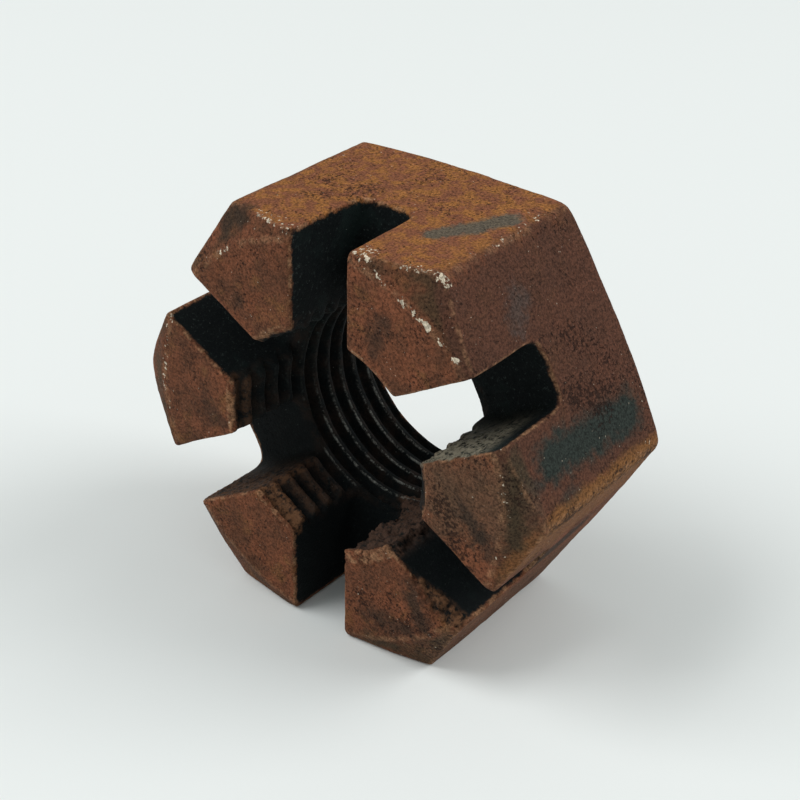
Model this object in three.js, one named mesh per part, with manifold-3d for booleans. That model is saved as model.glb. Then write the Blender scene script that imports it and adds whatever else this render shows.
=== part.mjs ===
// Slotted hex nut (castle-type), one forged and machined steel piece.
//
// Frame: millimetres, +Z up. The thread axis runs along Y and the nut stands on one of its
// flats, as it would lie on a bench. The slotted face looks towards -Y and the bearing face
// towards +Y. The origin is at the bottom centre of the nut.

import * as THREE from 'three';
import { mergeVertices } from 'three/addons/utils/BufferGeometryUtils.js';
import Module from 'manifold-3d';

const wasm = await Module();
wasm.setup();

// ---------------------------------------------------------------- driving dimensions, mm
const INCH = 25.4;
const ACROSS_FLATS = (1 + 5 / 16) * INCH;
const THICKNESS = (11 / 16) * INCH;
const THREAD_MAJOR_DIAMETER = 0.75 * INCH;
const THREADS_PER_INCH = 16;

const SLOT_PAIRS = 3;
const SLOT_WIDTH = 4.85;
const SLOT_DEPTH = (5 / 16) * INCH;
const SLOT_CORNER_RADIUS = 1.4;

const FRONT_CHAMFER_DIAMETER = 0.968 * ACROSS_FLATS;
const FRONT_CHAMFER_ANGLE = THREE.MathUtils.degToRad(24);
const BACK_CHAMFER_DIAMETER = 0.975 * ACROSS_FLATS;
const BACK_CHAMFER_ANGLE = THREE.MathUtils.degToRad(15);

const COUNTERSINK_DIAMETER = 18.8;
const COUNTERSINK_HALF_ANGLE = THREE.MathUtils.degToRad(45);

// ---------------------------------------------------------------- worked out from them
const PITCH = INCH / THREADS_PER_INCH;
const MAJOR_RADIUS = THREAD_MAJOR_DIAMETER / 2;
const THREAD_HEIGHT = (5 / 8) * Math.cos(Math.PI / 6) * PITCH;
const MINOR_RADIUS = MAJOR_RADIUS - THREAD_HEIGHT;
const APOTHEM = ACROSS_FLATS / 2;
const CORNER_RADIUS = APOTHEM / Math.cos(Math.PI / 6);
const FRONT_Y = -THICKNESS / 2;
const BACK_Y = THICKNESS / 2;

// ---------------------------------------------------------------- facet counts and clearances
const TURNED_FACETS = 72;
const THREAD_FACETS = 36;
const SLOT_CORNER_FACETS = 5;
const OVERRUN = 2;

/** Turns a closed three.js geometry into a solid, with its shared vertices merged. */
function solidOf(geometry) {
  const bare = geometry.clone();
  bare.deleteAttribute('normal');
  bare.deleteAttribute('uv');
  const merged = mergeVertices(bare, 1e-5);
  return new wasm.Manifold(new wasm.Mesh({
    numProp: 3,
    vertProperties: new Float32Array(merged.attributes.position.array),
    triVerts: new Uint32Array(merged.index.array),
  }));
}

/** Turns a solid back into a geometry that a mesh can show. */
function geometryOf(solid) {
  const mesh = solid.getMesh();
  const geometry = new THREE.BufferGeometry();
  geometry.setAttribute('position', new THREE.BufferAttribute(mesh.vertProperties, mesh.numProp));
  geometry.setIndex(new THREE.BufferAttribute(mesh.triVerts, 1));
  geometry.computeVertexNormals();
  return geometry;
}

/** Revolves an outline of [radius, y] points about the thread axis. */
function turned(outline) {
  const points = outline.map(([radius, y]) => new THREE.Vector2(radius, y));
  return solidOf(new THREE.LatheGeometry(points, TURNED_FACETS));
}

/** The hexagonal bar: corners at 0, 60, 120 degrees, so that it stands on a flat. */
function hexBar() {
  const corners = [];
  for (let corner = 0; corner < 6; corner += 1) {
    const angle = corner * Math.PI / 3;
    corners.push(new THREE.Vector2(CORNER_RADIUS * Math.cos(angle), CORNER_RADIUS * Math.sin(angle)));
  }
  const outline = new THREE.Shape(corners);
  const bar = new THREE.ExtrudeGeometry(outline, { depth: THICKNESS, bevelEnabled: false });
  bar.rotateX(-Math.PI / 2);
  bar.translate(0, FRONT_Y, 0);
  return solidOf(bar);
}

/** The turned envelope that takes the corners off both faces of the bar. */
function chamferEnvelope() {
  const rim = CORNER_RADIUS + OVERRUN;
  const frontRadius = FRONT_CHAMFER_DIAMETER / 2;
  const backRadius = BACK_CHAMFER_DIAMETER / 2;
  return turned([
    [0, FRONT_Y],
    [frontRadius, FRONT_Y],
    [rim, FRONT_Y + (rim - frontRadius) * Math.tan(FRONT_CHAMFER_ANGLE)],
    [rim, BACK_Y - (rim - backRadius) * Math.tan(BACK_CHAMFER_ANGLE)],
    [backRadius, BACK_Y],
    [0, BACK_Y],
  ]);
}

/** The countersink at one face; outward is 1 for the bearing face and -1 for the slotted face. */
function countersinkCutter(faceY, outward) {
  const slope = Math.tan(COUNTERSINK_HALF_ANGLE);
  const mouthRadius = COUNTERSINK_DIAMETER / 2;
  const depth = (mouthRadius - MINOR_RADIUS) / slope;
  const outerY = faceY + outward * OVERRUN;
  const innerY = faceY - outward * depth;
  const outline = [
    [0, innerY],
    [MINOR_RADIUS, innerY],
    [mouthRadius + slope * OVERRUN, outerY],
    [0, outerY],
  ];
  return turned(outward > 0 ? outline : outline.reverse());
}

/**
 * The screw that leaves a right-hand 60 degree internal thread when it is cut away.
 * One profile of root and crest points is swept along the helix, and each turn's end
 * is the next turn's start, so that the flank surface is a single strip. Two fans from
 * the axis close it beyond the nut's faces.
 */
function threadCutter() {
  const flank = THREAD_HEIGHT * Math.tan(Math.PI / 6);
  const crestFlat = PITCH / 4;
  const profile = [
    [MINOR_RADIUS, 0],
    [MINOR_RADIUS, crestFlat],
    [MAJOR_RADIUS, crestFlat + flank],
    [MAJOR_RADIUS, PITCH - flank],
  ];
  const count = profile.length;
  const turns = Math.ceil(THICKNESS / PITCH) + 3;
  const steps = turns * THREAD_FACETS;
  const startY = FRONT_Y - 2 * PITCH;

  const positions = [];
  for (let step = 0; step <= steps + THREAD_FACETS; step += 1) {
    const angle = (step % THREAD_FACETS) / THREAD_FACETS * 2 * Math.PI;
    const lead = startY + step / THREAD_FACETS * PITCH;
    for (const [radius, offset] of profile) {
      positions.push(radius * Math.sin(angle), lead + offset, radius * Math.cos(angle));
    }
  }
  const axisStart = positions.length / 3;
  positions.push(0, startY, 0);
  const axisEnd = axisStart + 1;
  positions.push(0, startY + (turns + 1) * PITCH, 0);

  const vertex = (step, k) => (k < count ? step * count + k : (step + THREAD_FACETS) * count);
  const triangles = [];
  for (let step = 0; step < steps; step += 1) {
    for (let k = 0; k < count; k += 1) {
      const corner = vertex(step, k);
      const opposite = vertex(step + 1, k + 1);
      triangles.push(corner, vertex(step + 1, k), opposite);
      triangles.push(corner, opposite, vertex(step, k + 1));
    }
  }
  for (let step = 0; step < THREAD_FACETS; step += 1) {
    triangles.push(axisStart, vertex(step + 1, 0), vertex(step, 0));
    triangles.push(axisEnd, vertex(steps + step, 0), vertex(steps + step + 1, 0));
  }
  for (let k = 0; k < count; k += 1) {
    triangles.push(axisStart, vertex(0, k), vertex(0, k + 1));
    triangles.push(axisEnd, vertex(steps, k + 1), vertex(steps, k));
  }

  const screw = new THREE.BufferGeometry();
  screw.setAttribute('position', new THREE.Float32BufferAttribute(positions, 3));
  screw.setIndex(triangles);
  return solidOf(screw);
}

/** One through cutter for two opposite slots, with the rounded corners that the mill leaves. */
function slotPairCutter(turn) {
  const halfWidth = SLOT_WIDTH / 2;
  const outerY = FRONT_Y - OVERRUN;
  const endY = FRONT_Y + SLOT_DEPTH;
  const reach = CORNER_RADIUS + OVERRUN;
  const radius = SLOT_CORNER_RADIUS;
  const outline = new THREE.Shape();
  outline.moveTo(-halfWidth, outerY);
  outline.lineTo(halfWidth, outerY);
  outline.lineTo(halfWidth, endY - radius);
  outline.absarc(halfWidth - radius, endY - radius, radius, 0, Math.PI / 2, false);
  outline.lineTo(radius - halfWidth, endY);
  outline.absarc(radius - halfWidth, endY - radius, radius, Math.PI / 2, Math.PI, false);
  outline.closePath();
  const cutter = new THREE.ExtrudeGeometry(outline, {
    depth: 2 * reach,
    bevelEnabled: false,
    curveSegments: SLOT_CORNER_FACETS,
  });
  cutter.translate(0, 0, -reach);
  cutter.rotateY(turn);
  return solidOf(cutter);
}

/** The whole nut: bar, chamfers, thread, countersinks and slots. */
function slottedNut() {
  let nut = hexBar().intersect(chamferEnvelope());
  nut = nut.subtract(threadCutter());
  nut = nut.subtract(countersinkCutter(FRONT_Y, -1));
  nut = nut.subtract(countersinkCutter(BACK_Y, 1));
  for (let pair = 0; pair < SLOT_PAIRS; pair += 1) {
    nut = nut.subtract(slotPairCutter(pair * Math.PI / SLOT_PAIRS));
  }
  return geometryOf(nut);
}

const rustedSteel = new THREE.MeshStandardMaterial({
  color: 0x6e4530,
  roughness: 0.85,
  metalness: 0.35,
});

const nutBody = new THREE.Mesh(slottedNut(), rustedSteel);
nutBody.name = 'slotted_nut_body';
nutBody.position.z = APOTHEM;

const slottedHexNut = new THREE.Group();
slottedHexNut.add(nutBody);

export default slottedHexNut;
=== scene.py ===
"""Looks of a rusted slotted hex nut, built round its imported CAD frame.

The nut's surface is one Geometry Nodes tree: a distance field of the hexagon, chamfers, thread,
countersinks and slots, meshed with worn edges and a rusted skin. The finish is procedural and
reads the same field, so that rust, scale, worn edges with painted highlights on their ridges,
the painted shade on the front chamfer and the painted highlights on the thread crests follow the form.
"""

import logging
import math
from dataclasses import dataclass, fields
from enum import Enum
from typing import Union

import bpy
from mathutils import Matrix, Vector


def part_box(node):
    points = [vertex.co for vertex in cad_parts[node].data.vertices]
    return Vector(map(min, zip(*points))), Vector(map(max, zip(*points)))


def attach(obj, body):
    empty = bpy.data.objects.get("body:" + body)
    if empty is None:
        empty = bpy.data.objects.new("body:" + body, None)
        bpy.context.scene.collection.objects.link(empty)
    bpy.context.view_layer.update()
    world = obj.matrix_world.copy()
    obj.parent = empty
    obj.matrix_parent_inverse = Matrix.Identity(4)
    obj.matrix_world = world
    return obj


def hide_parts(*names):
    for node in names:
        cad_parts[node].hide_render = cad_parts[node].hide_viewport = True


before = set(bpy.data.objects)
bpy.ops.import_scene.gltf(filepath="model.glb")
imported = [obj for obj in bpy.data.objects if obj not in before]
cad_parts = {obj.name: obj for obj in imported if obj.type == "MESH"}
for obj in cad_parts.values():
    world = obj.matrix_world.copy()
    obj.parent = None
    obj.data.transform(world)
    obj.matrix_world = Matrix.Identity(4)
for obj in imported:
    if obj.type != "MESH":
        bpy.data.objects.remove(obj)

LOG = logging.getLogger("slotted_nut")
MM = 0.001
INCH = 25.4
CAD_NODE = "slotted_nut_body"

Number = Union[float, "Value"]
Point = tuple[float, float, float]
Colour = tuple[float, float, float, float]
# Where a change sets in, and where it is full.
Span = tuple[float, float]


# ------------------------------------------------------------------ node trees as expressions


class Value:
    """A number socket that reads like a Python number: arithmetic on it adds Math nodes."""

    def __init__(self, graph: "Graph", socket: bpy.types.NodeSocket) -> None:
        """Wraps one output socket of the graph's tree."""
        self.graph = graph
        self.socket = socket

    def __add__(self, other: Number) -> "Value":
        """Sum with a number or another value."""
        return self.graph.math("ADD", self, other)

    __radd__ = __add__

    def __sub__(self, other: Number) -> "Value":
        """Difference with a number or another value."""
        return self.graph.math("SUBTRACT", self, other)

    def __rsub__(self, other: Number) -> "Value":
        """A number minus this value."""
        return self.graph.math("SUBTRACT", other, self)

    def __mul__(self, other: Number) -> "Value":
        """Product with a number or another value."""
        return self.graph.math("MULTIPLY", self, other)

    __rmul__ = __mul__

    def __truediv__(self, other: Number) -> "Value":
        """Quotient with a number or another value."""
        return self.graph.math("DIVIDE", self, other)

    def __neg__(self) -> "Value":
        """The value with its sign turned."""
        return self.graph.math("MULTIPLY", self, -1.0)

    def __abs__(self) -> "Value":
        """The value without its sign."""
        return self.graph.math("ABSOLUTE", self)


class Graph:
    """Adds nodes to one tree, for shapes and finishes alike."""

    # Sockets of a Mix node that mixes colours.
    MIX_FACTOR = 0
    MIX_LOW = 6
    MIX_HIGH = 7
    MIX_RESULT = 2

    def __init__(self, tree: bpy.types.NodeTree) -> None:
        """Keeps the tree that every node goes into."""
        self.tree = tree

    def node(self, kind: str, settings: dict | None = None, inputs: dict | None = None) -> bpy.types.Node:
        """Adds one node.

        Args:
            kind: the node's type name.
            settings: its properties, set before anything is linked.
            inputs: socket name or index to a number, vector, colour, socket or Value.

        Returns:
            The new node.
        """
        made = self.tree.nodes.new(kind)
        for name, setting in (settings or {}).items():
            setattr(made, name, setting)
        for key, given in (inputs or {}).items():
            self.feed(made.inputs[key], given)
        return made

    def feed(self, socket: bpy.types.NodeSocket, given: object) -> None:
        """Links an input, or sets its own number.

        Args:
            socket: the input.
            given: a Value or a socket to link, or a number, vector or colour to set.
        """
        if isinstance(given, Value):
            self.tree.links.new(given.socket, socket)
        elif isinstance(given, bpy.types.NodeSocket):
            self.tree.links.new(given, socket)
        else:
            socket.default_value = given

    def math(self, operation: str, *terms: Number) -> Value:
        """One Math node on up to three terms."""
        made = self.node("ShaderNodeMath", {"operation": operation}, dict(enumerate(terms)))
        return Value(self, made.outputs[0])

    def larger(self, first: Number, second: Number, blend: Number | None = None) -> Value:
        """The larger of two values.

        Args:
            first: one value.
            second: the other value.
            blend: width over which they meet in a curve, or None for a sharp meeting.

        Returns:
            The larger value.
        """
        if blend is None:
            return self.math("MAXIMUM", first, second)
        return self.math("SMOOTH_MAX", first, second, blend)

    def smaller(self, first: Number, second: Number, blend: Number | None = None) -> Value:
        """The smaller of two values.

        Args:
            first: one value.
            second: the other value.
            blend: width over which they meet in a curve, or None for a sharp meeting.

        Returns:
            The smaller value.
        """
        if blend is None:
            return self.math("MINIMUM", first, second)
        return self.math("SMOOTH_MIN", first, second, blend)

    def length(self, first: Value, second: Value) -> Value:
        """Distance from zero of a pair of values."""
        return self.math("SQRT", first * first + second * second)

    def ramp(self, value: Value, low: Number, high: Number) -> Value:
        """Smooth step from 0 at low to 1 at high, which may lie below low.

        Args:
            value: the value that drives it.
            low: where the step is 0.
            high: where the step is 1.

        Returns:
            The step, held between 0 and 1.
        """
        made = self.node(
            "ShaderNodeMapRange",
            {"interpolation_type": "SMOOTHSTEP"},
            {"Value": value, "From Min": low, "From Max": high},
        )
        return Value(self, made.outputs["Result"])

    def mix(self, factor: Number, low: object, high: object) -> bpy.types.NodeSocket:
        """A colour between two colours.

        Args:
            factor: 0 for the first colour, 1 for the second.
            low: the first colour, or its socket.
            high: the second colour, or its socket.

        Returns:
            The colour socket.
        """
        made = self.node("ShaderNodeMix", {"data_type": "RGBA"})
        self.feed(made.inputs[self.MIX_FACTOR], factor)
        self.feed(made.inputs[self.MIX_LOW], low)
        self.feed(made.inputs[self.MIX_HIGH], high)
        return made.outputs[self.MIX_RESULT]


@dataclass(frozen=True)
class Place:
    """A point of the nut, in millimetres from the thread axis at mid thickness."""

    vector: bpy.types.NodeSocket
    x: Value
    y: Value
    z: Value
    radius: Value

    @classmethod
    def at(cls, graph: Graph, metres: bpy.types.NodeSocket, axis_height: float) -> "Place":
        """Turns a position in metres above the floor into a place on the nut.

        Args:
            graph: the tree that the nodes go into.
            metres: position socket in the row's frame.
            axis_height: height of the thread axis, in millimetres.

        Returns:
            The place, with its distance from the thread axis.
        """
        scaled = graph.node(
            "ShaderNodeVectorMath", {"operation": "SCALE"}, {0: metres, "Scale": 1.0 / MM}
        )
        centred = graph.node(
            "ShaderNodeVectorMath",
            {"operation": "SUBTRACT"},
            {0: scaled.outputs[0], 1: (0.0, 0.0, axis_height)},
        )
        split = graph.node("ShaderNodeSeparateXYZ", inputs={0: centred.outputs[0]})
        x, y, z = (Value(graph, socket) for socket in split.outputs)
        return cls(centred.outputs[0], x, y, z, graph.length(x, z))


@dataclass(frozen=True)
class Mottle:
    """A cloudy pattern.

    Its grain is the size of its largest features in millimetres, its detail the number of finer
    layers, its roughness how much they count, and its seed picks one pattern among many. Its
    cover rises to its strength over a span of the noise.
    """

    grain: float
    detail: float
    seed: float
    roughness: float = 0.55
    span: Span = (0.0, 1.0)
    strength: float = 1.0

    def noise(self, graph: Graph, place: Place) -> Value:
        """Soft noise between 0 and 1, about 0.5 on average.

        Args:
            graph: the tree that the nodes go into.
            place: where it is read.

        Returns:
            The noise value.
        """
        made = graph.node(
            "ShaderNodeTexNoise",
            {"noise_dimensions": "4D"},
            {
                "Vector": place.vector,
                "W": self.seed,
                "Scale": 1.0 / self.grain,
                "Detail": self.detail,
                "Roughness": self.roughness,
            },
        )
        return Value(graph, made.outputs[0])

    def cover(self, graph: Graph, place: Place) -> Value:
        """Patches between 0 and the pattern's strength."""
        return graph.ramp(self.noise(graph, place), *self.span) * self.strength


# ------------------------------------------------------------------ the nut


class Flat(Enum):
    """The six flats, by the direction each one faces, in degrees from +X towards +Z."""

    RIGHT_UPPER = 30.0
    TOP = 90.0
    LEFT_UPPER = 150.0
    LEFT_LOWER = 210.0
    BOTTOM = 270.0
    RIGHT_LOWER = 330.0

    def outward(self, place: Place) -> Value:
        """Distance of a place from the axis, along this flat's normal."""
        angle = math.radians(self.value)
        return place.x * math.cos(angle) + place.z * math.sin(angle)

    def along(self, place: Place) -> Value:
        """Distance of a place from the middle of this flat, across the nut's faces."""
        angle = math.radians(self.value)
        return place.z * math.cos(angle) - place.x * math.sin(angle)


# One flat of each opposite pair.
FLAT_PAIRS = (Flat.RIGHT_UPPER, Flat.TOP, Flat.LEFT_UPPER)


@dataclass(frozen=True)
class NutSizes:
    """The nut's sizes in millimetres: plain numbers, or the inputs of a tree."""

    apothem: Number
    half_thickness: Number
    front_chamfer_radius: Number
    back_chamfer_radius: Number
    slot_half_width: Number
    slot_depth: Number
    major_radius: Number
    minor_radius: Number
    pitch: Number
    countersink_radius: Number

    @classmethod
    def from_frame(cls) -> "NutSizes":
        """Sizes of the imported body, with the chamfers, slots and 3/4-16 thread of the same nut.

        Returns:
            The sizes as plain numbers.
        """
        low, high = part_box(CAD_NODE)
        apothem = (high.z - low.z) / 2 / MM
        pitch = INCH / 16
        major_radius = 0.75 * INCH / 2
        thread_height = 5 / 8 * math.cos(math.pi / 6) * pitch
        return cls(
            apothem=apothem,
            half_thickness=(high.y - low.y) / 2 / MM,
            front_chamfer_radius=0.968 * apothem,
            back_chamfer_radius=0.975 * apothem,
            slot_half_width=4.85 / 2,
            slot_depth=5 / 16 * INCH,
            major_radius=major_radius,
            minor_radius=major_radius - thread_height,
            pitch=pitch,
            countersink_radius=18.8 / 2,
        )

    def as_inputs(self, graph: Graph) -> "NutSizes":
        """Adds one named input for each size to a tree.

        Args:
            graph: the tree that gets the inputs.

        Returns:
            The same sizes as values read from the tree's inputs.
        """
        for size in fields(self):
            label = size.name.replace("_", " ").title()
            graph.tree.interface.new_socket(label, in_out="INPUT", socket_type="NodeSocketFloat")
        source = graph.node("NodeGroupInput")
        values = (Value(graph, source.outputs[i]) for i in range(len(fields(self))))
        return NutSizes(*values)


@dataclass(frozen=True)
class SlotWear:
    """How one slot strays from its place, in millimetres: aside, wider and deeper."""

    flat: Flat
    aside: float = 0.0
    wider: float = 0.0
    deeper: float = 0.0


@dataclass(frozen=True)
class CrustedWall:
    """Crumbs on one wall of a slot.

    Its side is -1 or 1, its reach the distance from the axis in millimetres where the crumbs
    end, and its thickness 1 where they lie thickest.
    """

    flat: Flat
    side: float
    reach: float
    thickness: float


@dataclass(frozen=True)
class NutWear:
    """How turning, milling, wear and rust shaped the plain nut.

    Lengths are in millimetres. A depth is measured behind the slotted face, and x, z and radius
    from the thread axis.
    """

    front_chamfer_angle: float = math.radians(24)
    back_chamfer_angle: float = math.radians(15)
    first_crest_depth: float = 0.5

    corner_rounding: float = 0.45
    right_corner_rounding: float = 1.2
    right_corner_x: Span = (6.0, 12.0)
    right_corner_z: Span = (-12.0, -6.0)
    left_corner_rounding: float = 3.0
    left_corner_x: Span = (-13.0, -17.0)
    left_chamfer_x: Span = (-13.0, -15.5)
    left_chamfer_excess: float = 0.35

    ridge_rounding: float = 0.12
    rim_rounding: float = 0.35
    thread_rounding: float = 0.1
    slot_edge_rounding: float = 0.5
    slot_end_rounding: float = 2.4
    slots_cut: tuple[SlotWear, ...] = (
        SlotWear(Flat.TOP, aside=0.33, wider=0.12, deeper=0.3),
        SlotWear(Flat.LEFT_UPPER, aside=0.12, wider=0.12),
        SlotWear(Flat.LEFT_LOWER),
        SlotWear(Flat.BOTTOM, aside=-0.45, wider=0.08),
        SlotWear(Flat.RIGHT_LOWER),
        SlotWear(Flat.RIGHT_UPPER, aside=-0.12, wider=0.12, deeper=0.1),
    )

    packed_x: Span = (0.0, 1.8)
    packed_z: Span = (-3.0, -5.0)
    packed_depth: Span = (10.5, 8.5)
    free_thread_height: float = 1.1
    packed_thread_fill: float = 1.2
    packed_mouth_fill: float = 0.9

    broken_width: float = 1.1
    broken_radius: Span = (10.5, 15.0)
    broken_side: Span = (6.0, 2.0)
    crumbled_metal: Span = (-0.5, 0.0)
    crumbled_depth: Span = (2.4, 1.4)
    crumbled_radius: Span = (9.0, 12.0)

    crust_z: Span = (-2.0, -6.0)
    crust_left_x: Span = (0.0, -1.5)
    crust_below_z: Span = (5.0, 4.0)
    crust_over_crests: Span = (0.7, 0.3)
    mouth_crust_radius: Span = (10.2, 9.8)
    mouth_crust_depth: Span = (1.3, 1.0)
    first_turn_depth: Span = (3.0, 1.8)
    first_turn_least: float = 0.35
    next_turns_depth: Span = (7.5, 5.0)
    next_turns_thickness: float = 0.22
    packed_crust_radius: Span = (11.0, 10.0)
    wall_crust_depth: Span = (8.0, 3.0)
    wall_crust_off_wall: Span = (0.8, 0.4)
    wall_crust_outward: Span = (5.0, 6.0)
    wall_crust_fade: float = 1.0
    crusted_walls: tuple[CrustedWall, ...] = (
        CrustedWall(Flat.RIGHT_UPPER, side=-1.0, reach=15.0, thickness=1.0),
        CrustedWall(Flat.RIGHT_LOWER, side=-1.0, reach=9.6, thickness=1.0),
        CrustedWall(Flat.LEFT_LOWER, side=1.0, reach=19.0, thickness=0.6),
    )


@dataclass(frozen=True)
class NutField:
    """The nut as a distance field at one place of a tree.

    Its values are in millimetres, negative inside the steel and positive outside, unless a
    method says otherwise.
    """

    graph: Graph
    place: Place
    sizes: NutSizes
    wear: NutWear

    # Factor on the bore's field, which the sloping thread flanks would make too steep.
    BORE_FACTOR = 0.7
    # More than the broken edge's field ever reaches: taken off it, it leaves the metal whole.
    FAR_INSIDE = 5.0

    def depth(self) -> Value:
        """Depth of the place behind the slotted face."""
        return self.place.y + self.sizes.half_thickness

    def hexagon(self) -> Value:
        """Distance outside the six flats, with rubbed corners.

        Returns:
            The field of the plain bar.
        """
        graph, place, wear = self.graph, self.place, self.wear
        first, second, third = (abs(flat.outward(place)) for flat in FLAT_PAIRS)
        left = graph.ramp(place.x, *wear.left_corner_x)
        right = graph.ramp(place.x, *wear.right_corner_x) * graph.ramp(place.z, *wear.right_corner_z)
        rounding = left * (wear.left_corner_rounding - wear.corner_rounding) + wear.corner_rounding
        rounding = rounding + right * (wear.right_corner_rounding - wear.corner_rounding)
        return graph.larger(graph.larger(first, second, rounding), third, rounding) - self.sizes.apothem

    def front_chamfer(self) -> Value:
        """Distance outside the turned chamfer of the slotted face, which is narrower at the left.

        Returns:
            The field of the cone.
        """
        angle = self.wear.front_chamfer_angle
        excess = self.graph.ramp(self.place.x, *self.wear.left_chamfer_x) * self.wear.left_chamfer_excess
        beyond = self.place.radius - self.sizes.front_chamfer_radius - excess
        return beyond * math.sin(angle) - self.depth() * math.cos(angle)

    def back_chamfer(self) -> Value:
        """Distance outside the turned chamfer of the bearing face.

        Returns:
            The field of the cone.
        """
        angle = self.wear.back_chamfer_angle
        beyond = self.place.radius - self.sizes.back_chamfer_radius
        rise = self.place.y - self.sizes.half_thickness
        return beyond * math.sin(angle) + rise * math.cos(angle)

    def outside(self) -> Value:
        """The plain chamfered hexagon, without its bore and slots.

        Returns:
            The field of the blank.
        """
        graph, wear = self.graph, self.wear
        ends = abs(self.place.y) - self.sizes.half_thickness
        ends = graph.larger(ends, self.front_chamfer(), wear.ridge_rounding)
        ends = graph.larger(ends, self.back_chamfer(), wear.ridge_rounding)
        return graph.larger(self.hexagon(), ends, wear.rim_rounding)

    def bore(self) -> Value:
        """The threaded and countersunk bore, positive inside it.

        Returns:
            The field of the bore, which is gentler than true distance.
        """
        graph, sizes, wear = self.graph, self.sizes, self.wear
        from_groove = abs(self.past_groove())
        root_half_width = sizes.pitch / 16
        flank_slope = math.sqrt(3)
        ridge = sizes.major_radius - (from_groove - root_half_width) * flank_slope
        above_crest = graph.larger(ridge, sizes.minor_radius, wear.thread_rounding)
        thread = graph.smaller(above_crest, sizes.major_radius, wear.thread_rounding)
        packed = self.packed()
        filled = sizes.minor_radius + wear.free_thread_height - packed * wear.packed_thread_fill
        thread = graph.smaller(thread, filled)
        to_face = sizes.half_thickness - abs(self.place.y)
        mouth = sizes.countersink_radius - to_face - packed * wear.packed_mouth_fill
        wall = graph.larger(thread, mouth, wear.thread_rounding)
        return (wall - self.place.radius) * self.BORE_FACTOR

    def past_groove(self) -> Value:
        """Distance along the thread axis past the middle of the nearest thread groove.

        Returns:
            Between minus and plus half a pitch.
        """
        turn = self.graph.math("ARCTAN2", self.place.x, self.place.z) / (2 * math.pi)
        lead = (self.depth() - self.wear.first_crest_depth) / self.sizes.pitch
        return (self.graph.math("FRACT", lead - turn + 1.0) - 0.5) * self.sizes.pitch

    def packed(self) -> Value:
        """Where rust has filled the thread and its mouth: at the lower right prong.

        Returns:
            From 0 for a clean thread to 1 for a filled one.
        """
        graph, place, wear = self.graph, self.place, self.wear
        lower_right = graph.ramp(place.x, *wear.packed_x) * graph.ramp(place.z, *wear.packed_z)
        return lower_right * graph.ramp(self.depth(), *wear.packed_depth)

    def slots(self) -> Value:
        """The six slots, negative inside them.

        Returns:
            The field of the nearest slot.
        """
        cuts = [self.slot(cut) for cut in self.wear.slots_cut]
        nearest = cuts[0]
        for cut in cuts[1:]:
            nearest = self.graph.smaller(nearest, cut)
        return nearest

    def slot(self, cut: SlotWear) -> Value:
        """One slot from the axis outwards, with round corners at its end.

        Args:
            cut: the slot's flat and how it strays.

        Returns:
            The slot's field, negative inside it.
        """
        graph, place, sizes = self.graph, self.place, self.sizes
        beside = abs(cut.flat.along(place) - cut.aside) - sizes.slot_half_width - cut.wider
        beyond_end = self.depth() - sizes.slot_depth - cut.deeper
        section = graph.larger(beside, beyond_end, self.wear.slot_end_rounding)
        return graph.larger(section, -cut.flat.outward(place))

    def whole(self) -> Value:
        """The finished nut: the chamfered hexagon without its bore, slots and broken edge.

        Returns:
            The field that is meshed.
        """
        graph, wear = self.graph, self.wear
        bored = graph.larger(self.outside(), self.bore(), wear.thread_rounding)
        slotted = graph.larger(bored, -self.slots(), wear.slot_edge_rounding)
        return graph.larger(slotted, self.broken_edge(), wear.slot_edge_rounding)

    def broken_edge(self) -> Value:
        """The crumbled edge of the lower right prong, positive where its metal is gone.

        Returns:
            The field of the metal that is gone.
        """
        graph, place, wear = self.graph, self.place, self.wear
        across = Flat.RIGHT_LOWER.along(place)
        width = graph.ramp(place.radius, *wear.broken_radius) * wear.broken_width
        bevel = (across + self.sizes.slot_half_width + width - self.depth()) * math.sqrt(0.5)
        other_side = graph.ramp(Flat.RIGHT_LOWER.outward(place), *wear.broken_side)
        return graph.smaller(bevel, -across) - other_side * self.FAR_INSIDE

    def crumbled(self) -> Value:
        """Where the lower right prong's crumbled edge lies.

        Returns:
            The cover, from 0 to 1.
        """
        graph, wear = self.graph, self.wear
        gone = graph.ramp(self.broken_edge(), *wear.crumbled_metal)
        front = graph.ramp(self.depth(), *wear.crumbled_depth)
        return gone * graph.ramp(self.place.radius, *wear.crumbled_radius) * front

    def crust(self) -> Value:
        """Where rust crumbs lie: low in the bore, on the walls of lower slots, on the broken edge.

        Returns:
            The cover, from 0 on clean scale to 1 on thick crumbs.
        """
        cover = self.bore_crust()
        for wall in self.wear.crusted_walls:
            cover = self.graph.larger(cover, self.wall_crust(wall))
        return self.graph.larger(cover, self.crumbled())

    def bore_crust(self) -> Value:
        """Crumbs on the crests and mouth of the bore, at the left and where it is packed.

        Returns:
            The cover, from 0 to 1.
        """
        graph, place, sizes, wear = self.graph, self.place, self.sizes, self.wear
        depth = self.depth()
        low = graph.ramp(place.z, *wear.crust_z)
        left = graph.ramp(place.x, *wear.crust_left_x)
        sets_in, full = wear.crust_over_crests
        on_crests = graph.ramp(place.radius, sizes.minor_radius + sets_in, sizes.minor_radius + full)
        at_mouth = graph.ramp(depth, *wear.mouth_crust_depth)
        mouth = graph.ramp(place.radius, *wear.mouth_crust_radius) * at_mouth
        share = low * (1 - wear.first_turn_least) + wear.first_turn_least
        first_turn = graph.ramp(depth, *wear.first_turn_depth) * share
        next_turns = graph.ramp(depth, *wear.next_turns_depth) * low * wear.next_turns_thickness
        turns = graph.larger(first_turn, next_turns) * left
        packed = self.packed() * graph.ramp(place.radius, *wear.packed_crust_radius)
        below_top = graph.ramp(place.z, *wear.crust_below_z)
        return graph.larger(on_crests, mouth) * below_top * graph.larger(turns, packed)

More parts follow.
